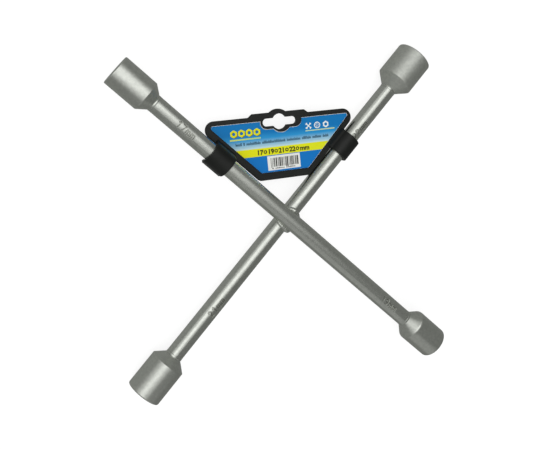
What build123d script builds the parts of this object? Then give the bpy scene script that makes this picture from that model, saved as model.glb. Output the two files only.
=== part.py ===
from build123d import *
import math
import os

# Four-way cross lug wrench with a clip-on retail hanger.
# The wrench lies flat: +Z is up, the front bar runs along X above the rear bar along Y, and the
# origin is under the crossing, level with the lowest point of the largest socket.

# ---------------------------------------------------------------- bars
bar_dia = 13.5
arm = 172.5  # crossing to every socket mouth
nest = 2.9  # how far the two bars are seated into each other
spigot_dia = 9.0  # turned end of a bar, inside the socket's neck
spigot_len = 7.0
weld_prep = 0.9  # 45 degree preparation on both sides of a neck joint
weld_crown = 0.12  # how far a neck weld stands proud of the bar, after grinding

# ---------------------------------------------------------------- sockets
# size: (outside diameter, parallel length, cone length, shoulder radius, arm direction)
sockets = {
    17: (24.4, 28.2, 7.0, 0.8, (-1, 0, 0)),
    19: (26.5, 27.6, 8.5, 3.0, (1, 0, 0)),
    21: (28.2, 28.9, 6.5, 0.6, (0, -1, 0)),
    22: (30.6, 27.4, 8.5, 0.8, (0, 1, 0)),
}
neck_len = 1.0  # parallel neck behind the cone
hex_play = 0.3  # broached width over the nominal nut size
hex_depth = 16.0
stud_bore_depth = 22.0  # round clearance for the stud, measured from the mouth
rim_round = 1.0
drill_point = math.radians(59)

rear_z = sockets[22][0] / 2
front_z = rear_z + bar_dia - nest
mid_z = (rear_z + front_z) / 2

# ---------------------------------------------------------------- weld beads at the crossing
# name: (quadrant signs, bead radius, distance of its centre from each bar's axis)
beads = {
    "north": ((-1, 1), 2.9, 5.6),
    "east": ((1, 1), 2.9, 6.0),
    "south": ((1, -1), 3.6, 6.0),
    "west": ((-1, -1), 2.9, 5.6),
}

# ---------------------------------------------------------------- stamped size marks
mark_height = 4.7
mark_pitch = 4.3  # from one figure to the next
mark_stroke = 0.85
mark_depth = 0.45
# size: (distance along the bar where the mark starts, turn from the top of the bar in degrees)
marks = {
    17: (-115.4, -1.0),
    19: (104.2, 4.0),
    21: (-95.8, -3.0),
    22: (84.9, -8.0),
}
# strokes of each figure, in parts of its height
figures = {
    "1": [[(0.14, 0.76), (0.40, 1.0), (0.40, 0.0)]],
    "2": [
        [(0.04, 0.74), (0.12, 0.93), (0.31, 1.0), (0.50, 0.92), (0.56, 0.73), (0.46, 0.50), (0.04, 0.0)],
        [(0.04, 0.0), (0.60, 0.0)],
    ],
    "7": [[(0.04, 1.0), (0.60, 1.0), (0.28, 0.0)]],
    "9": [
        [(0.56, 0.70), (0.48, 0.50), (0.30, 0.42), (0.12, 0.50), (0.04, 0.70), (0.12, 0.92), (0.30, 1.0)],
        [(0.30, 1.0), (0.48, 0.92), (0.56, 0.70), (0.52, 0.32), (0.38, 0.06), (0.14, 0.0)],
    ],
    "m": [
        [(0.04, 0.0), (0.04, 0.66)],
        [(0.04, 0.50), (0.16, 0.64), (0.30, 0.62), (0.36, 0.48), (0.36, 0.0)],
        [(0.36, 0.48), (0.48, 0.64), (0.62, 0.62), (0.68, 0.48), (0.68, 0.0)],
    ],
}

# ---------------------------------------------------------------- hanger
hanger_at = (-40.3, 41.8)  # middle of the tray
hanger_turn = 46.6  # its long edges against the X axis; it sits 1.6 degrees askew
plate_top = front_z - 8.0
plate_t = 3.2
plate_x = 0.3  # middle of the outline
plate_half = 46.65  # half width at the middle
plate_slope = 0.964  # growth of the half width per millimetre of height
plate_low, plate_high = -26.4, 23.6
plate_round = 7.0
plate_low_round = 4.0
edge_round = 0.8
rim_side, rim_low, rim_high = 4.9, 5.5, 3.3
recess_x = 1.1  # the recess is moved to the right in the tray
tray_depth = 1.5
slot_x, slot_y = -0.45, 18.6  # hanging slot
slot_half = 13.85
slot_r = 3.05
slot_eye_r = 6.15
hub_x = 1.0  # rim left standing round the slot
hub_half = 16.6
hub_r = 4.9
hub_eye_r = 8.1
boss_x = -0.7  # raised top edge above the slot
boss_half = 21.4
boss_foot = 24.4
boss_high = 26.1
boss_round = 1.5
bump_x = -1.4
bump_r = 9.95
clip_len = 18.2
clip_play = 0.4  # radial gap between clip and bar
clip_wall = 2.2
clip_round = 0.7
front_clip_x = -73.0
rear_clip_y = 75.6

# ---------------------------------------------------------------- card and label
card_t = 0.4
card_gap = 0.4
card_cut_gap = 0.35
label_t = 0.12
label_at = (0.5, -13.4)
label_size = (27.0, 11.4)
label_turn = 0.3


def arm_plane(direction, z, distance=0.0):
    """Plane across an arm whose normal runs outward along it."""
    point = tuple(distance * d for d in direction[:2]) + (z,)
    return Plane(origin=point, x_dir=(0, 0, 1), z_dir=direction)


def socket_length(size):
    dia, parallel, cone, shoulder, direction = sockets[size]
    return parallel + cone + neck_len


def axis_z(size):
    return front_z if sockets[size][4][0] else rear_z


def turned(points):
    """Solid turned about Z from (radius, height) points."""
    return revolve(make_face(Plane.XZ * Polyline(*points, close=True)), Axis.Z)


def bar_end(direction, z, size):
    """Half a bar: plain shank, weld preparation and spigot."""
    shoulder = arm - socket_length(size)
    r = bar_dia / 2
    return arm_plane(direction, z) * turned(
        [
            (0, 0),
            (r, 0),
            (r, shoulder - weld_prep),
            (r - weld_prep, shoulder),
            (spigot_dia / 2, shoulder),
            (spigot_dia / 2, shoulder + spigot_len - 0.6),
            (spigot_dia / 2 - 0.6, shoulder + spigot_len),
            (0, shoulder + spigot_len),
        ]
    )


def stroke(start, end):
    """One straight stroke with round ends."""
    (x0, y0), (x1, y1) = start, end
    length, turn = math.hypot(x1 - x0, y1 - y0), math.degrees(math.atan2(y1 - y0, x1 - x0))
    return Pos((x0 + x1) / 2, (y0 + y1) / 2) * Rot(0, 0, turn) * SlotCenterToCenter(length, mark_stroke)


def stamp(size):
    """Size mark as shallow curved solids round a bar that lies along X, reading towards +X."""
    start, turn = marks[size]
    face = Sketch()
    for i, figure in enumerate(f"{size}mm"):
        for line in figures[figure]:
            points = [(x * mark_height + i * mark_pitch, (y - 0.5) * mark_height) for x, y in line]
            for a, b in zip(points, points[1:]):
                face += stroke(a, b)
    prism = Pos(start, 0, 0) * extrude(face, bar_dia)
    tube = Cylinder(bar_dia / 2 + 1, arm * 2) - Cylinder(bar_dia / 2 - mark_depth, arm * 2)
    return Rot(-turn, 0, 0) * (prism & (Rot(0, 90, 0) * tube))


def bar(size_a, size_b):
    """Bar between two opposite sockets, with both sizes stamped in it."""
    z = axis_z(size_a)
    along = sockets[size_b][4]
    lie = Plane(origin=(0, 0, z), x_dir=tuple(abs(d) for d in along), z_dir=(0, 0, 1))
    body = bar_end(sockets[size_a][4], z, size_a) + bar_end(sockets[size_b][4], z, size_b)
    return body - lie * stamp(size_a) - lie * stamp(size_b)


def socket(size):
    """Socket body with its mouth at the end of the arm, built along +Z from the neck."""
    dia, parallel, cone, shoulder, direction = sockets[size]
    r, rb, top = dia / 2, bar_dia / 2, socket_length(size)
    outline = Polyline(
        (spigot_dia / 2, 0),
        (rb - weld_prep, 0),
        (rb, weld_prep),
        (rb, neck_len),
        (r, neck_len + cone),
        (r, top),
        (0, top),
        (0, spigot_len),
        (spigot_dia / 2, spigot_len),
        close=True,
    )
    face = make_face(Plane.XZ * outline)

    def corner(radius, height):
        return [v for v in face.vertices() if math.dist((v.X, v.Z), (radius, height)) < 0.01]

    face = fillet(corner(r, neck_len + cone), shoulder)
    face = fillet(corner(r, top), rim_round)
    body = revolve(face, Axis.Z)

    half = (size + hex_play) / 2
    tip = half / math.cos(math.pi / 6) + 0.3
    broach = extrude(RegularPolygon(half, 6, major_radius=False), hex_depth)
    lead = Pos(0, 0, hex_depth - (tip - half) * 0.6) * turned(
        [(0, 0), (half, 0), (tip, (tip - half) * 0.6), (0, (tip - half) * 0.6)]
    )
    bore_r = size / 2 - 1
    deep = stud_bore_depth - hex_depth
    point = bore_r / math.tan(drill_point)
    bore = turned([(0, -deep - point), (bore_r, -deep), (bore_r, 0.5), (0, 0.5)])
    cut = Pos(0, 0, top - hex_depth) * (broach + lead + bore)
    return arm_plane(direction, axis_z(size), arm - top) * (body - cut)


def neck_weld(size):
    """Ring of weld metal that fills the preparation and stands slightly proud."""
    r, direction = bar_dia / 2, sockets[size][4]
    edges = Polyline((r, weld_prep), (r - weld_prep, 0), (r, -weld_prep))
    crown = ThreePointArc((r, -weld_prep), (r + weld_crown, 0), (r, weld_prep))
    ring = revolve(make_face(Plane.XZ * (edges + crown)), Axis.Z)
    return arm_plane(direction, axis_z(size), arm - socket_length(size)) * ring


def trapezoid(x, margin_side, margin_low, margin_high, r_high, r_low):
    """Tray outline about x, moved inward by the three margins, with rounded corners."""
    low, high = plate_low + margin_low, plate_high - margin_high
    shift = margin_side * math.hypot(1, plate_slope)

    def half(y):
        return plate_half + plate_slope * y - shift

    face = make_face(
        Polyline(
            (-half(low), low), (half(low), low), (half(high), high), (-half(high), high), close=True
        )
    )
    for y, radius in ((low, r_low), (high, r_high)):
        face = fillet([v for v in face.vertices() if abs(v.Y - y) < 0.01], radius)
    return Pos(x, 0) * face


def pill(x, half, radius, eye_x, eye_radius):
    """Long slot with a round eye, as hanging slots have."""
    slot = Pos(x, slot_y) * SlotCenterToCenter(2 * (half - radius), 2 * radius)
    return slot + Pos(eye_x, slot_y) * Circle(eye_radius)


def hub(extra=0.0):
    """Rim round the hanging slot, grown by extra on every side."""
    return pill(hub_x, hub_half + extra, hub_r + extra, hub_x, hub_eye_r + extra)


def tray_outline():
    """Outside of the tray: trapezoid, raised top edge and bump, cut back beside the rear bar."""
    foot, top = (boss_foot, plate_high), (boss_half, boss_high)
    corners = [foot, top, (-top[0], top[1]), (-foot[0], foot[1])]
    lug = Polyline((-boss_foot, plate_high - 3), (boss_foot, plate_high - 3), *corners, close=True)
    outline = trapezoid(plate_x, 0, 0, 0, plate_round, plate_low_round)
    outline += Pos(boss_x, 0) * make_face(lug)
    places = [(x + boss_x, y) for x, y in corners]
    sharp = [v for v in outline.vertices() if any(math.dist((v.X, v.Y), c) < 0.01 for c in places)]
    outline = fillet(sharp, boss_round) + Pos(bump_x, slot_y) * Circle(bump_r)
    own = Location((*hanger_at, 0), (0, 0, hanger_turn)).inverse()
    return outline - own * Rectangle(bar_dia + 2 * clip_play, 4 * arm)


def tray():
    """Rimmed tray with the hanging slot, in its own frame, front face at z = 0."""
    body = Pos(0, 0, -plate_t) * extrude(tray_outline(), plate_t)
    body = fillet(body.faces().sort_by(Axis.Z)[-1].outer_wire().edges(), edge_round)
    recess = trapezoid(recess_x, rim_side, rim_low, rim_high, 2.0, 2.0) - hub()
    body -= Pos(0, 0, -tray_depth) * extrude(recess, tray_depth + 1)
    slot = pill(slot_x, slot_half, slot_r, slot_x, slot_eye_r)
    return body - Pos(0, 0, -plate_t - 1) * extrude(slot, plate_t + 2)


def clip_section(drop, root_low, root_high):
    """Clip across its bar: the tray is on the +X side, the lip on the -X side, opening down."""
    ri = bar_dia / 2 + clip_play
    ro = ri + clip_wall
    sleeve = Circle(ro) - Circle(ri) - Pos(0, -ro) * Rectangle(4 * ro, 2 * ro)
    wall = Polyline((ri, 0), (ri, -drop), (ro, -drop), (ro, 0), close=True)
    root = Polyline(
        (ri + 0.5, root_low), (ro + 2.8, root_low), (ro + 0.3, root_high), (ri + 0.5, root_high),
        close=True,
    )
    lip = Polyline(
        (-ri, 0), (-ri, -1.6), (-ri - 1.0, -4.4), (-ro - 0.5, -3.8), (-ro, -1.4), (-ro, 0), close=True
    )
    return sleeve + make_face(wall) + make_face(root) + make_face(lip)


def clip(section, root_high):
    """Clip of its full length along +Z; above its root its outside is rounded over at both ends."""
    ro, end = bar_dia / 2 + clip_play + clip_wall, clip_len / 2
    body = Pos(0, 0, -end) * extrude(section, clip_len)
    corner = Rectangle(3, 3, align=(Align.MIN, Align.MIN)) - Circle(clip_round)
    corner = Plane.XZ * (Pos(ro - clip_round, end - clip_round) * corner)
    start = math.degrees(math.asin(max(root_high, 0) / ro))
    waste = Rot(0, 0, start) * revolve(corner, Axis.Z, 180 - start)
    waste += extrude(Rot(0, 0, 180) * corner, ro, dir=(0, -1, 0))
    return body - waste - mirror(waste, Plane.XY)


def hanger():
    """One moulding: tray and both clips."""
    place = Location((*hanger_at, plate_top), (0, 0, hanger_turn))
    body = place * tray()
    base = plate_top - plate_t
    across_front = Plane(origin=(front_clip_x, 0, front_z), x_dir=(0, 1, 0), z_dir=(1, 0, 0))
    across_rear = Plane(origin=(0, rear_clip_y, rear_z), x_dir=(-1, 0, 0), z_dir=(0, 1, 0))
    for plane, axis, rise in ((across_front, front_z, 4.4), (across_rear, rear_z, 2.6)):
        root_high = plate_top + rise - axis
        section = clip_section(axis - base, plate_top - 1.0 - axis, root_high)
        body += plane * clip(section, root_high)
    return body


def card():
    """Printed card lying on the tray's floor."""
    margins = (rim_side + card_gap, rim_low + card_gap, rim_high + card_gap)
    face = trapezoid(recess_x, *margins, 1.6, 1.6) - hub(card_cut_gap)
    place = Location((*hanger_at, plate_top - tray_depth), (0, 0, hanger_turn))
    return place * extrude(face, card_t)


def label():
    """Small label stuck on the card."""
    z = plate_top - tray_depth + card_t
    place = Location((*hanger_at, z), (0, 0, hanger_turn))
    return place * (Pos(*label_at) * Rot(0, 0, label_turn) * extrude(Rectangle(*label_size), label_t))


front_bar, rear_bar = bar(17, 19), bar(21, 22)
beads_solid = {
    name: Pos(sx * off, sy * off, mid_z) * Sphere(r) - front_bar - rear_bar
    for name, ((sx, sy), r, off) in beads.items()
}
half_space = Box(40, 40, 20, align=(Align.CENTER, Align.CENTER, Align.MIN))
below, above = Pos(0, 0, mid_z - 20) * half_space, Pos(0, 0, mid_z) * half_space

nodes = {
    "front_bar": front_bar - (rear_bar & below),
    "rear_bar": rear_bar - (front_bar & above),
    "hanger": hanger(),
    "printed_card": card(),
    "barcode_label": label(),
}
for name, bead in beads_solid.items():
    nodes["cross_weld_" + name] = bead
for size in sockets:
    nodes[f"socket_{size}_mm"] = socket(size)
    nodes[f"neck_weld_{size}"] = neck_weld(size)

os.makedirs("parts", exist_ok=True)
for name, solid in nodes.items():
    export_step(Part(solid.solids()) if len(solid.solids()) > 1 else solid.solids()[0], f"parts/{name}.step")
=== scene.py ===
"""Four-way lug wrench with its clip-on retail hanger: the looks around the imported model."""

import math
import random

import bmesh
import bpy
from mathutils import Matrix, Vector


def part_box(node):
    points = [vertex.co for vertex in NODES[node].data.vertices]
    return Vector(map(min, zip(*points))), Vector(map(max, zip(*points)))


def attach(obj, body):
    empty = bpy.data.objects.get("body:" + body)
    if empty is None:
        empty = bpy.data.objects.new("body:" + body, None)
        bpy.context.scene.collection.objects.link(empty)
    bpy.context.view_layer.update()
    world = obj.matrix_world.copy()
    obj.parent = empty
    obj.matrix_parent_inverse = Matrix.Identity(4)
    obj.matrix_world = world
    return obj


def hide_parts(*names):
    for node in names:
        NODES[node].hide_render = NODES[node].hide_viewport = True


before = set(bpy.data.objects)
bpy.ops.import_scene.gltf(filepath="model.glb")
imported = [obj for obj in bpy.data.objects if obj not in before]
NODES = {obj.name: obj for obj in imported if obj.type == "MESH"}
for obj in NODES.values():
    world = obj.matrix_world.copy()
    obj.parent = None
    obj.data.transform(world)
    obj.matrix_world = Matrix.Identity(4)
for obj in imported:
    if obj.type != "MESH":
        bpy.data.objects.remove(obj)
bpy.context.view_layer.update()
MM = 0.001

# Where the CAD puts the hanger: its middle, and its long edges' turn from +X.
HANGER_AT = Vector((-40.3, 41.8)) * MM
HANGER_TURN = math.radians(46.6)

WRENCH = "wrench"
HANGER = "hanger_set"


def middle(node):
    low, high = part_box(node)
    return (low + high) / 2


FRONT_Z = middle("socket_17_mm").z
REAR_Z = middle("socket_22_mm").z
CARD_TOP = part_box("printed_card")[1].z
LABEL_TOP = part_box("barcode_label")[1].z
INK = 0.03 * MM  # thickness of one layer of print


# ------------------------------------------------------------------ camera
def make_camera():
    data = bpy.data.cameras.new("camera")
    camera = bpy.data.objects.new("camera", data)
    bpy.context.scene.collection.objects.link(camera)
    bpy.context.scene.camera = camera
    data.lens = 45.33
    data.sensor_width = 36.0
    data.shift_x = -0.0409
    data.shift_y = -0.0879
    camera.location = (-0.18339, -0.04878, 0.53543)
    camera.rotation_mode = "QUATERNION"
    camera.rotation_quaternion = (0.924638, 0.015181, -0.171948, 0.339483)


make_camera()


# ------------------------------------------------------------------ node helpers
class Nodes:
    """A material's node tree, with short calls to add and join nodes."""

    def __init__(self, name):
        self.material = bpy.data.materials.new(name)
        self.material.use_nodes = True
        self.tree = self.material.node_tree
        self.shader = self.tree.nodes["Principled BSDF"]
        self.point = self.add("ShaderNodeTexCoord").outputs["Object"]

    def add(self, kind, **settings):
        node = self.tree.nodes.new(kind)
        for key, value in settings.items():
            setattr(node, key, value)
        return node

    def join(self, output, socket):
        self.tree.links.new(output, socket)

    def mapped(self, scale=(1, 1, 1), location=(0, 0, 0), turn=0.0):
        node = self.add("ShaderNodeMapping")
        node.inputs["Location"].default_value = location
        node.inputs["Rotation"].default_value = (0, 0, turn)
        node.inputs["Scale"].default_value = scale
        self.join(self.point, node.inputs["Vector"])
        return node.outputs["Vector"]

    def noise(self, scale, detail=3.0, roughness=0.5, vector=None):
        node = self.add("ShaderNodeTexNoise")
        node.inputs["Scale"].default_value = scale
        node.inputs["Detail"].default_value = detail
        node.inputs["Roughness"].default_value = roughness
        self.join(vector or self.point, node.inputs["Vector"])
        return node.outputs["Fac"]

    def ramp(self, value, stops):
        """The colour at value, from stops that each give a place and a colour."""
        node = self.add("ShaderNodeValToRGB")
        elements = node.color_ramp.elements
        while len(elements) < len(stops):
            elements.new(0.5)
        for element, (place, colour) in zip(elements, stops):
            element.position = place
            element.color = (*colour, 1)
        self.join(value, node.inputs["Fac"])
        return node.outputs["Color"]

    def between(self, value, low, high):
        """value, from 0 to 1, spread over low to high."""
        node = self.add("ShaderNodeMapRange")
        node.inputs["To Min"].default_value = low
        node.inputs["To Max"].default_value = high
        self.join(value, node.inputs["Value"])
        return node.outputs["Result"]

    def bump(self, height, depth, normal=None):
        node = self.add("ShaderNodeBump")
        node.inputs["Strength"].default_value = 1.0
        node.inputs["Distance"].default_value = depth
        self.join(height, node.inputs["Height"])
        if normal:
            self.join(normal, node.inputs["Normal"])
        return node.outputs["Normal"]

    def worn_edges(self, radius):
        """The surface's normal with its edges rounded over."""
        node = self.add("ShaderNodeBevel", samples=6)
        node.inputs["Radius"].default_value = radius
        return node.outputs["Normal"]


def grey(value):
    return (value, value, value)


# ------------------------------------------------------------------ materials
CHROME_LIGHT = (0.80, 0.82, 0.765)
CHROME_DARK = (0.68, 0.70, 0.655)
# Painted shade: the stamped marks are darkened in the plate's colour, for the shade in their grooves
# and partly for unpolished metal at their foot.
STAMPED_SHADE = (0.60, 0.60, 0.58)  # share of the plate's colour left at the foot of a stamped mark
MARK_FOOT = 0.30 * MM  # depth from which a mark's painted shade is full
MARK_LIP = 0.04 * MM  # depth down to which the plate is as bright as on the bar
EDGE_WEAR = 0.42 * MM  # radius over which edges are rounded


def satin_chrome(name, across, rough=(0.22, 0.31), shank=None):
    """Satin chrome plate. across gives the noise scale on X, Y and Z of the drawing or turning lines.

    shank gives a bar's radius, the axes across it and its place: below that radius, in the stamped
    marks, the plate's colour is darkened: painted shade of the grooves, partly unpolished metal at
    their foot.
    """
    n = Nodes(name)
    lines = n.noise(1.0, 4, 0.6, n.mapped(across))
    cloud = n.noise(430, 5, 0.72)
    plate = n.ramp(cloud, [(0.36, CHROME_DARK), (0.64, CHROME_LIGHT)])
    if shank:
        radius, axes, place = shank
        out = n.add("ShaderNodeVectorMath", operation="LENGTH")
        n.join(n.mapped(axes, place), out.inputs[0])
        height = n.add("ShaderNodeMapRange")
        height.inputs["From Min"].default_value = radius - MARK_FOOT
        height.inputs["From Max"].default_value = radius - MARK_LIP
        n.join(out.outputs["Value"], height.inputs["Value"])
        # Painted shade: the plate's colour is multiplied darker inside the stamped marks.
        mark_shade = n.add("ShaderNodeMix", data_type="RGBA", blend_type="MULTIPLY")
        mark_shade.inputs["Factor"].default_value = 1.0
        n.join(plate, mark_shade.inputs["A"])
        n.join(n.ramp(height.outputs["Result"], [(0.0, STAMPED_SHADE), (1.0, grey(1.0))]), mark_shade.inputs["B"])
        plate = mark_shade.outputs["Result"]
    n.join(plate, n.shader.inputs["Base Color"])
    n.join(n.between(n.noise(160, 5, 0.65), *rough), n.shader.inputs["Roughness"])
    n.shader.inputs["Metallic"].default_value = 1.0
    grain = n.bump(n.noise(2600, 2, 0.6), 0.007 * MM, n.worn_edges(EDGE_WEAR))
    blasted = n.bump(n.noise(520, 4, 0.62), 0.024 * MM, grain)
    n.join(n.bump(lines, 0.010 * MM, blasted), n.shader.inputs["Normal"])
    return n.material


def weld_metal(name):
    """Plated weld: the same plate over a soft ripple."""
    n = Nodes(name)
    ripple = n.noise(420, 2, 0.4)
    cloud = n.noise(120, 3, 0.5)
    n.join(n.ramp(cloud, [(0.3, CHROME_DARK), (0.7, CHROME_LIGHT)]), n.shader.inputs["Base Color"])
    n.join(n.between(n.noise(500, 4, 0.6), 0.24, 0.38), n.shader.inputs["Roughness"])
    n.shader.inputs["Metallic"].default_value = 1.0
    n.join(n.bump(ripple, 0.25 * MM), n.shader.inputs["Normal"])
    return n.material


def black_plastic(name):
    """Moulded polypropylene: spark-eroded grain, with a slightly shiny top."""
    n = Nodes(name)
    cloud = n.noise(60, 3, 0.6)
    n.join(n.ramp(cloud, [(0.3, (0.005, 0.006, 0.005)), (0.7, (0.009, 0.010, 0.009))]),
           n.shader.inputs["Base Color"])
    n.join(n.between(n.noise(240, 4, 0.6), 0.34, 0.50), n.shader.inputs["Roughness"])
    n.shader.inputs["Specular IOR Level"].default_value = 0.36
    grain = n.bump(n.noise(3400, 3, 0.7), 0.03 * MM)
    n.join(n.bump(n.noise(90, 2, 0.5), 0.12 * MM, grain), n.shader.inputs["Normal"])
    return n.material


def paper(name, colour, rough=0.55):
    """Uncoated paper with short fibres."""
    n = Nodes(name)
    fibres = n.noise(1.0, 3, 0.6, n.mapped((2200, 900, 2200), turn=0.6))
    dark = tuple(c * 0.93 for c in colour)
    n.join(n.ramp(fibres, [(0.35, dark), (0.6, colour)]), n.shader.inputs["Base Color"])
    n.join(n.between(n.noise(700, 2), rough - 0.08, rough + 0.08), n.shader.inputs["Roughness"])
    n.join(n.bump(fibres, 0.012 * MM), n.shader.inputs["Normal"])
    return n.material


def ink(name, colours, along=(0, 1), span=(-1, 1), rough=(0.36, 0.48)):
    """Glossy offset ink whose colours run along a direction of the hanger's own frame."""
    n = Nodes(name)
    turn = n.add("ShaderNodeMapping", vector_type="TEXTURE")
    turn.inputs["Location"].default_value = (*HANGER_AT, 0)
    turn.inputs["Rotation"].default_value = (0, 0, HANGER_TURN)
    n.join(n.point, turn.inputs["Vector"])
    dot = n.add("ShaderNodeVectorMath", operation="DOT_PRODUCT")
    dot.inputs[1].default_value = (*along, 0)
    n.join(turn.outputs["Vector"], dot.inputs[0])
    wobble = n.add("ShaderNodeMath", operation="MULTIPLY_ADD")
    n.join(n.noise(70, 3, 0.5), wobble.inputs[0])
    wobble.inputs[1].default_value = 1.6 * MM
    n.join(dot.outputs["Value"], wobble.inputs[2])
    place = n.add("ShaderNodeMapRange")
    n.join(wobble.outputs["Value"], place.inputs["Value"])
    place.inputs["From Min"].default_value = span[0] * MM
    place.inputs["From Max"].default_value = span[1] * MM
    n.join(n.ramp(place.outputs["Result"], colours), n.shader.inputs["Base Color"])
    n.join(n.between(n.noise(300, 3), *rough), n.shader.inputs["Roughness"])
    n.shader.inputs["Specular IOR Level"].default_value = 0.14
    n.join(n.bump(n.noise(1800, 2), 0.006 * MM), n.shader.inputs["Normal"])
    return n.material


# Noise scales on X, Y and Z: fine across the drawing or turning lines, coarse along them.
ALONG_X = (90, 1500, 1500)
ALONG_Y = (1500, 90, 1500)
ROUND_X = (2600, 60, 60)
ROUND_Y = (60, 2600, 60)

BAR_R = (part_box("front_bar")[1].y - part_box("front_bar")[0].y) / 2
bar_x = satin_chrome("chrome_front_bar", ALONG_X, shank=(BAR_R, (0, 1, 1), (0, 0, -FRONT_Z)))
bar_y = satin_chrome("chrome_rear_bar", ALONG_Y, shank=(BAR_R, (1, 0, 1), (0, 0, -REAR_Z)))
turned_x = satin_chrome("chrome_turned_x", ROUND_X, rough=(0.26, 0.36))
turned_y = satin_chrome("chrome_turned_y", ROUND_Y, rough=(0.29, 0.39))
dull_y = satin_chrome("chrome_turned_dull", ROUND_Y, rough=(0.44, 0.56))
weld = weld_metal("chrome_weld")
plastic = black_plastic("black_moulding")
card_paper = paper("card_paper", (0.82, 0.82, 0.78))
label_paper = paper("label_paper", (0.86, 0.87, 0.84))

FINISH = {
    "front_bar": bar_x,
    "rear_bar": bar_y,
    "neck_weld_17": bar_x,
    "neck_weld_19": bar_x,
    "neck_weld_21": bar_y,
    "neck_weld_22": bar_y,
    "socket_17_mm": turned_x,
    "socket_19_mm": turned_x,
    "socket_21_mm": turned_y,
    "socket_22_mm": dull_y,
    "hanger": plastic,
    "printed_card": card_paper,
    "barcode_label": label_paper,
}
for node_name, node in NODES.items():
    node.data.materials.clear()
    node.data.materials.append(FINISH.get(node_name, weld))


# ------------------------------------------------------------------ print on the card
def placed(x, y, z):
    """A point of the hanger's own frame, in millimetres, brought to the row frame."""
    c, s = math.cos(HANGER_TURN), math.sin(HANGER_TURN)
    return Vector((HANGER_AT.x + (x * c - y * s) * MM, HANGER_AT.y + (x * s + y * c) * MM, z))


def own(point):
    """The opposite of placed: (x, y) in millimetres in the hanger's frame."""
    c, s = math.cos(HANGER_TURN), math.sin(HANGER_TURN)
    dx, dy = (point.x - HANGER_AT.x) / MM, (point.y - HANGER_AT.y) / MM
    return (dx * c + dy * s, -dx * s + dy * c)


def add_plate(bm, outer, inner, z, thick):
    """Closed plate with the given outline. inner is a hole with as many points as outer, or None."""
    loops = [[bm.verts.new(placed(x, y, level)) for x, y in outline]
             for outline in (outer, inner) if outline for level in (z, z + thick)]
    low, high = loops[0], loops[1]
    count = len(low)
    if inner:
        inner_low, inner_high = loops[2], loops[3]
    else:
        bm.faces.new(high)
        bm.faces.new(low[::-1])
    for i in range(count):
        j = (i + 1) % count
        bm.faces.new((low[i], low[j], high[j], high[i]))
        if inner:
            bm.faces.new((inner_low[j], inner_low[i], inner_high[i], inner_high[j]))
            bm.faces.new((high[i], high[j], inner_high[j], inner_high[i]))
            bm.faces.new((inner_low[i], inner_low[j], low[j], low[i]))


def film(name, shapes, layer, material, base=None):
    """Ink film: closed thin plates on the card, or on base, a number of ink layers up."""
    z = (CARD_TOP if base is None else base) + layer * INK
    bm = bmesh.new()
    for shape in shapes:
        outer, inner = shape if isinstance(shape, tuple) else (shape, None)
        add_plate(bm, outer, inner, z, INK)
    bmesh.ops.recalc_face_normals(bm, faces=bm.faces)
    return piece_from(name, bm, material, HANGER)


def piece_from(name, bm, material, body):
    mesh = bpy.data.meshes.new(name)
    bm.to_mesh(mesh)
    bm.free()
    mesh.materials.append(material)
    piece = bpy.data.objects.new(name, mesh)
    bpy.context.scene.collection.objects.link(piece)
    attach(piece, body)
    return piece


HAIR = 1e-6  # metres, for telling the top face's corners from the rest


def top_outline(node):
    """The outline of a flat node's top face, counter-clockwise, in the hanger's frame."""
    mesh = NODES[node].data
    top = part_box(node)[1].z - HAIR
    sides = {}
    for polygon in mesh.polygons:
        corners = [mesh.vertices[v].co for v in polygon.vertices]
        if all(c.z > top for c in corners):
            keys = [(round(c.x, 7), round(c.y, 7)) for c in corners]
            for i, a in enumerate(keys):
                b = keys[(i + 1) % len(keys)]
                if (b, a) in sides:
                    del sides[(b, a)]
                else:
                    sides[(a, b)] = True
    follow = {a: b for a, b in sides}
    start = next(iter(follow))
    loop, at = [start], follow[start]
    while at != start:
        loop.append(at)
        at = follow[at]
    return [own(Vector((x, y))) for x, y in loop]


def inset(outline, distance, shift=(0, 0)):
    """The outline moved inward by distance, mitred at its corners, then shifted."""
    sharpest = 0.3
    points = []
    count = len(outline)
    for i in range(count):
        before, here, after = outline[i - 1], outline[i], outline[(i + 1) % count]
        a = Vector((here[0] - before[0], here[1] - before[1])).normalized()
        b = Vector((after[0] - here[0], after[1] - here[1])).normalized()
        na, nb = Vector((-a.y, a.x)), Vector((-b.y, b.x))
        mitre = (na + nb) / max(sharpest, 1 + na.dot(nb))
        x = here[0] + mitre.x * distance + shift[0]
        y = here[1] + mitre.y * distance + shift[1]
        points.append((x, y))
    return points


def edge_x(outline, y):
    """Where a level line leaves the outline on its left and on its right."""
    found = []
    for i, (x1, y1) in enumerate(outline):
        x0, y0 = outline[i - 1]
        if (y0 - y) * (y1 - y) <= 0 and y0 != y1:
            found.append(x0 + (x1 - x0) * (y - y0) / (y1 - y0))
    return min(found), max(found)


def rectangle(x0, y0, x1, y1):
    return [(x0, y0), (x1, y0), (x1, y1), (x0, y1)]


def ring(x, y, outer, inner, corners=6, per_side=4):
    """Polygon with a round hole, as outlines with the same number of points."""
    outside, inside = [], []
    for i in range(corners):
        a, b = (2 * math.pi * (i + k) / corners + math.pi / 2 for k in (0, 1))
        for k in range(per_side):
            t = k / per_side
            px = (1 - t) * math.cos(a) + t * math.cos(b)
            py = (1 - t) * math.sin(a) + t * math.sin(b)
            turn = math.atan2(py, px)
            outside.append((x + outer * px, y + outer * py))
            inside.append((x + inner * math.cos(turn), y + inner * math.sin(turn)))
    return outside, inside


def disc(x, y, radius, sides=20):
    step = 2 * math.pi / sides
    return [(x + radius * math.cos(i * step), y + radius * math.sin(i * step)) for i in range(sides)]


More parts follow.
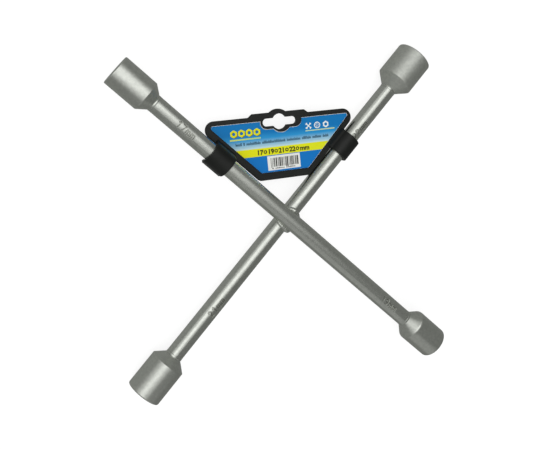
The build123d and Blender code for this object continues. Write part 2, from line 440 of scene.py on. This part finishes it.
def cross_icon(x, y, reach):
    """Outline of a small four-way wrench seen from above, turned 45 degrees."""
    bar, head, neck = 0.13 * reach, 0.27 * reach, 0.66 * reach
    side = [(bar, bar), (neck, bar), (neck, head), (reach, head)]
    arm = side + [(reach, -head), (neck, -head), (neck, -bar)]
    points = []
    for quarter in range(4):
        turn = math.pi / 4 - quarter * math.pi / 2
        c, s = math.cos(turn), math.sin(turn)
        points += [(x + px * c - py * s, y + px * s + py * c) for px, py in arm]
    return points[::-1]


def wheel_icon(x, y, radius):
    """Rim and five nuts of a wheel."""
    count, circle, nut = 5, 0.42 * radius, 0.15 * radius
    shapes = [ring(x, y, radius, 0.74 * radius, corners=30, per_side=1)]
    for i in range(count):
        a = 2 * math.pi * i / count + math.pi / 2
        shapes.append(disc(x + circle * math.cos(a), y + circle * math.sin(a), nut, 10))
    return shapes


def greeked(x0, x1, y, height, pitch, words, rng):
    """A line of print too small to read: pairs of strokes in word-like groups."""
    shapes, x = [], x0
    stroke, second, space = 0.36 * pitch, 0.48 * pitch, 0.9 * pitch
    for word in words:
        for _ in range(word):
            if x + pitch > x1:
                return shapes
            for k in (0, 1):
                tall = height * rng.choice((0.7, 0.7, 1.0))
                left = x + k * second
                shapes.append(rectangle(left, y, left + stroke, y + tall))
            x += pitch
        x += space
    return shapes


FACE_HEIGHT = 0.72  # height of a figure in the plain face, for size 1
FACE_WEIGHT = 0.045  # how far the face's outline is thickened, for size 1


def figures(name, text, x, y, height, layer, material):
    """Numerals in Blender's own plain face on the card, with y at their foot, as a closed mesh."""
    curve = bpy.data.curves.new(name, "FONT")
    curve.body = text
    curve.size = height / FACE_HEIGHT * MM
    curve.extrude = INK / 2
    curve.offset = FACE_WEIGHT * curve.size
    curve.resolution_u = 3
    shape = bpy.data.objects.new(name, curve)
    bpy.context.scene.collection.objects.link(shape)
    bpy.context.view_layer.update()
    mesh = bpy.data.meshes.new_from_object(shape)
    bpy.data.objects.remove(shape)
    z = CARD_TOP + (layer + 0.5) * INK
    mesh.transform(Matrix.Translation(placed(x, y, z)) @ Matrix.Rotation(HANGER_TURN, 4, "Z"))
    bm = bmesh.new()
    bm.from_mesh(mesh)
    bpy.data.meshes.remove(mesh)
    bmesh.ops.remove_doubles(bm, verts=bm.verts, dist=0.002 * MM)
    bmesh.ops.recalc_face_normals(bm, faces=bm.faces)
    return piece_from(name, bm, material, HANGER)


# The print's places are millimetres in the hanger's own frame.
CARD_LOW, CARD_HIGH = -20.0, 19.0  # ends of the blue's gradient
BLUE_DEEP = (0.004, 0.180, 0.56)
BLUE_TOP = (0.004, 0.185, 0.50)
BLUE_MID = (0.025, 0.300, 0.64)
BLUE_PALE = (0.34, 0.58, 0.72)
BLUE_PALEST = (0.60, 0.80, 0.82)
PAPER_EDGE = 0.16  # unprinted edge of the card
OFF_REGISTER = (-0.12, -0.12)  # how far the blue is printed off its place
BAND = (-7.1, -0.9)
NUTS_X, NUTS_Y, NUTS_PITCH = -38.0, 12.2, 6.2
NUT_R, NUT_HOLE, SHADOW_HOLE, SHADOW_SHIFT = 3.05, 1.35, 1.45, 0.45
ICONS_Y = 12.6
SMALL_PRINT = (4, 1, 9, 15, 9, 6, 6, 4)  # letters in each word
SIZES_X, SIZES_FOOT, SIZES_HIGH, SIZES_PITCH = -21.0, -5.9, 3.7, 8.9
SIZE_NUTS_X, SIZE_NUTS_Y = -14.1, -4.1
STRIPES_FROM, STRIPES_TO, STRIPE_MODULE = -10.4, 12.3, 0.34
STRIPE_TOP, STRIPE_FOOT, LONG_STRIPE_FOOT = -9.4, -16.5, -17.1


def height_share(y):
    return (y - CARD_LOW) / (CARD_HIGH - CARD_LOW)


def print_card():
    rng = random.Random(17)
    edge = inset(top_outline("printed_card"), PAPER_EDGE, OFF_REGISTER)
    blue = ink("ink_blue", [
        (height_share(-20), BLUE_DEEP),
        (height_share(-5), BLUE_DEEP),
        (height_share(-0.5), BLUE_PALEST),
        (height_share(2), BLUE_PALE),
        (height_share(7.5), BLUE_MID),
        (height_share(12), BLUE_TOP),
        (height_share(19), BLUE_TOP),
    ], span=(CARD_LOW, CARD_HIGH))
    yellow = ink("ink_yellow", [(0.0, (0.82, 0.80, 0.004)), (1.0, (0.76, 0.80, 0.015))],
                 along=(1, 0), span=(-35, 35))
    shadow = ink("ink_brown", [(0.0, (0.20, 0.10, 0.03)), (1.0, (0.16, 0.12, 0.03))])
    rule = ink("ink_rule", [(0.0, (0.78, 0.80, 0.12)), (1.0, (0.26, 0.62, 0.36))],
               along=(1, 0), span=(-46, 0))
    rule_right = ink("ink_rule_right", [(0.0, (0.50, 0.72, 0.52)), (1.0, (0.74, 0.78, 0.30))],
                     along=(1, 0), span=(20, 47))
    white = ink("ink_white", [(0.0, (0.80, 0.88, 0.90)), (1.0, (0.86, 0.90, 0.88))])
    dark = ink("ink_dark", [(0.0, (0.022, 0.075, 0.14)), (1.0, (0.030, 0.085, 0.13))])
    umber = ink("ink_umber", [(0.0, (0.050, 0.045, 0.012)), (1.0, (0.075, 0.065, 0.015))])

    film("card_ink_blue", [edge], 0, blue)
    ends = [edge_x(edge, y) for y in BAND]
    band = [(ends[0][0], BAND[0]), (ends[0][1], BAND[0]), (ends[1][1], BAND[1]), (ends[1][0], BAND[1])]
    film("card_ink_band", [band], 1, yellow)

    nuts = [(NUTS_X + NUTS_PITCH * i, NUTS_Y) for i in range(4)]
    shadows = [ring(x + SHADOW_SHIFT, y - SHADOW_SHIFT, NUT_R, SHADOW_HOLE) for x, y in nuts]
    film("card_ink_nut_shadows", shadows, 1, shadow)
    film("card_ink_nuts", [ring(x, y, NUT_R, NUT_HOLE) for x, y in nuts], 2, yellow)
    film("card_ink_rule_left", [rectangle(-41.4, 6.8, -16.7, 7.95)], 1, rule)
    film("card_ink_rule_right", [rectangle(20.6, 8.45, 45.4, 9.2)], 1, rule_right)
    icons = [cross_icon(23.4, ICONS_Y, 2.9), ring(38.2, ICONS_Y, 2.7, 1.3)]
    icons += wheel_icon(30.8, ICONS_Y, 2.6)
    film("card_ink_icons", icons, 1, white)
    small_print = greeked(-37.3, 40.6, 2.5, 2.3, 1.28, SMALL_PRINT, rng)
    film("card_ink_small_print", small_print, 1, dark)

    x = SIZES_X
    for size in ("17", "19", "21", "22"):
        figures(f"card_ink_size_{size}", size, x, SIZES_FOOT, SIZES_HIGH, 2, umber)
        x += SIZES_PITCH
    size_nuts = [ring(SIZE_NUTS_X + SIZES_PITCH * i, SIZE_NUTS_Y, 1.6, 0.65) for i in range(4)]
    film("card_ink_size_nuts", size_nuts, 2, umber)
    figures("card_ink_size_unit", "mm", x + 0.1, SIZES_FOOT, SIZES_HIGH, 2, umber)
    print_label(rng)


def print_label(rng):
    """Stripes and a row of ticks, which stand for no real article."""
    black = ink("ink_black", [(0.0, (0.030, 0.028, 0.025)), (1.0, (0.045, 0.040, 0.035))])
    x, stripes = STRIPES_FROM, []
    while x < STRIPES_TO:
        wide = STRIPE_MODULE * rng.choice((1, 1, 1, 2, 2, 3))
        low = LONG_STRIPE_FOOT if len(stripes) % 12 in (0, 1) else STRIPE_FOOT
        stripes.append(rectangle(x, low, x + wide, STRIPE_TOP))
        x += wide + STRIPE_MODULE * rng.choice((1, 1, 2, 2))
    film("label_ink_stripes", stripes, 0, black, LABEL_TOP)
    ticks = greeked(-9.6, 12.0, -18.1, 0.9, 1.3, (1, 6, 6), rng)
    film("label_ink_ticks", ticks, 0, black, LABEL_TOP)


print_card()


# ------------------------------------------------------------------ weld at the crossing
# The bead's radius and its lift off the saddle, in millimetres: everywhere, then added at full crown
# and at a full heap.
BEAD_RADIUS = (1.15, 0.85, 1.7)
BEAD_LIFT = (0.55, 2.5, 2.55)
HEAPS = {(1, 1): 0.72, (1, -1): 0.96, (-1, -1): 0.40, (-1, 1): 0.40}  # by the signs of x and y


def bead_size(parts, crown, corner):
    plain, at_crown, at_corner = parts
    return plain + at_crown * crown + at_corner * corner


def weld_bead():
    """Bead laid round the saddle where the two bars meet, heaped up in its corners."""
    r = BAR_R
    half_gap, mid = (FRONT_Z - REAR_Z) / 2, (FRONT_Z + REAR_Z) / 2
    reach = r - half_gap
    around, across = 192, 20
    rng = random.Random(4)
    phases = [rng.uniform(0, 2 * math.pi) for _ in range(2)]
    centres, radii = [], []
    for i in range(around):
        a = 2 * math.pi * i / around
        s = reach * math.cos(2 * a)
        x = math.copysign(math.sqrt(max(0.0, r * r - (s + half_gap) ** 2)), math.sin(a))
        y = math.copysign(math.sqrt(max(0.0, r * r - (s - half_gap) ** 2)), math.cos(a))
        on_front = Vector((0, y, s - half_gap)) / r
        on_rear = Vector((x, 0, s + half_gap)) / r
        out = (on_front + on_rear).normalized()
        corner = abs(math.sin(2 * a)) ** 2.5 * HEAPS[(1 if x >= 0 else -1, 1 if y >= 0 else -1)]
        ripple = 0.04 * math.sin(34 * a + phases[0]) + 0.03 * math.sin(7 * a + phases[1])
        crown = max(0.0, math.cos(2 * a)) ** 2 * (1.0 if y > 0 else 0.6)
        radii.append(bead_size(BEAD_RADIUS, crown, corner) * MM * (1 + ripple))
        centres.append(Vector((x, y, mid + s)) + out * bead_size(BEAD_LIFT, crown, corner) * MM)
    bm = bmesh.new()
    loops = []
    for i in range(around):
        along = (centres[(i + 1) % around] - centres[i - 1]).normalized()
        side = along.cross(Vector((0, 0, 1))).normalized()
        up = side.cross(along)
        loops.append([
            bm.verts.new(centres[i] + radii[i] * (side * math.cos(t) + up * math.sin(t)))
            for t in (2 * math.pi * k / across for k in range(across))
        ])
    for i in range(around):
        for k in range(across):
            after, beside = (i + 1) % around, (k + 1) % across
            bm.faces.new((loops[i][k], loops[after][k], loops[after][beside], loops[i][beside]))
    bmesh.ops.recalc_face_normals(bm, faces=bm.faces)
    for face in bm.faces:
        face.smooth = True
    bead = piece_from("cross_weld_bead", bm, weld, WRENCH)
    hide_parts("cross_weld_north", "cross_weld_east", "cross_weld_south", "cross_weld_west")


weld_bead()


# ------------------------------------------------------------------ stage and light
def make_floor():
    """Round pale floor, level out to flat and then rising to its rim."""
    bm = bmesh.new()
    rings, sides = 24, 96
    rim, flat, rise = 3.4, 2.2, 1.6
    loops = []
    for i in range(rings + 1):
        t = i / rings
        radius = rim * t
        lift = 0.0 if radius < flat else rise * ((radius - flat) / (rim - flat)) ** 2
        if i == 0:
            loops.append([bm.verts.new((0, 0, 0))])
            continue
        turns = [2 * math.pi * k / sides for k in range(sides)]
        loops.append([bm.verts.new((radius * math.cos(a), radius * math.sin(a), lift)) for a in turns])
    for k in range(sides):
        bm.faces.new((loops[0][0], loops[1][k], loops[1][(k + 1) % sides]))
        for inner, outer in zip(loops[1:], loops[2:]):
            bm.faces.new((inner[k], outer[k], outer[(k + 1) % sides], inner[(k + 1) % sides]))
    mesh = bpy.data.meshes.new("floor")
    bm.to_mesh(mesh)
    bm.free()
    for face in mesh.polygons:
        face.use_smooth = True
    n = Nodes("pale_sweep")
    n.join(n.ramp(n.noise(9, 3), [(0.3, grey(0.27)), (0.7, grey(0.30))]), n.shader.inputs["Base Color"])
    n.shader.inputs["Roughness"].default_value = 0.9
    n.shader.inputs["Specular IOR Level"].default_value = 0.0
    n.shader.inputs["Emission Color"].default_value = (1, 1, 1, 1)
    n.shader.inputs["Emission Strength"].default_value = 0.83
    n.material.cycles.emission_sampling = "NONE"
    mesh.materials.append(n.material)
    floor = bpy.data.objects.new("floor", mesh)
    bpy.context.scene.collection.objects.link(floor)
    floor.visible_glossy = False
    floor.visible_diffuse = False


def softbox(name, direction, distance, width, length, radiance, glossy=True):
    """Oval area light that faces the object from a direction, with the same radiance all over it.

    width lies along the light's own X and length along its own Y. On a light almost straight above,
    those are the world's Y and X.
    """
    data = bpy.data.lights.new(name, "AREA")
    data.shape = "ELLIPSE"
    data.size = width
    data.size_y = length
    area = math.pi * width * length / 4
    data.energy = radiance * area * math.pi
    light = bpy.data.objects.new(name, data)
    bpy.context.scene.collection.objects.link(light)
    toward = Vector(direction).normalized()
    light.location = toward * distance
    light.rotation_mode = "QUATERNION"
    light.rotation_quaternion = toward.to_track_quat("Z", "Y")
    light.visible_camera = False
    light.visible_glossy = glossy


def make_world():
    """Grey studio walls, a little lighter on the -X side and towards the floor."""
    world = bpy.data.worlds.new("studio")
    bpy.context.scene.world = world
    world.use_nodes = True
    tree = world.node_tree
    background = tree.nodes["Background"]
    background.inputs["Color"].default_value = (0.98, 1.0, 0.96, 1)
    direction = tree.nodes.new("ShaderNodeTexCoord").outputs["Generated"]
    slope = tree.nodes.new("ShaderNodeVectorMath")
    slope.operation = "DOT_PRODUCT"
    slope.inputs[1].default_value = (-0.045, 0.0, -0.03)
    level = tree.nodes.new("ShaderNodeMath")
    level.operation = "ADD"
    level.inputs[1].default_value = 0.215
    tree.links.new(direction, slope.inputs[0])
    tree.links.new(slope.outputs["Value"], level.inputs[0])
    tree.links.new(level.outputs["Value"], background.inputs["Strength"])


make_floor()
softbox("key", (-0.26, 0.06, 0.963), 1.2, 1.6, 0.84, 0.66)
softbox("key_halo", (-0.33, 0.03, 0.94), 1.3, 3.4, 2.2, 0.34)
softbox("side_card", (0.55, -0.7, 0.35), 1.4, 1.6, 1.6, 0.13)
softbox("fill", (0.1, -0.3, 0.95), 1.6, 2.7, 2.7, 1.0, glossy=False)
make_world()
bpy.context.scene.view_settings.view_transform = "Standard"
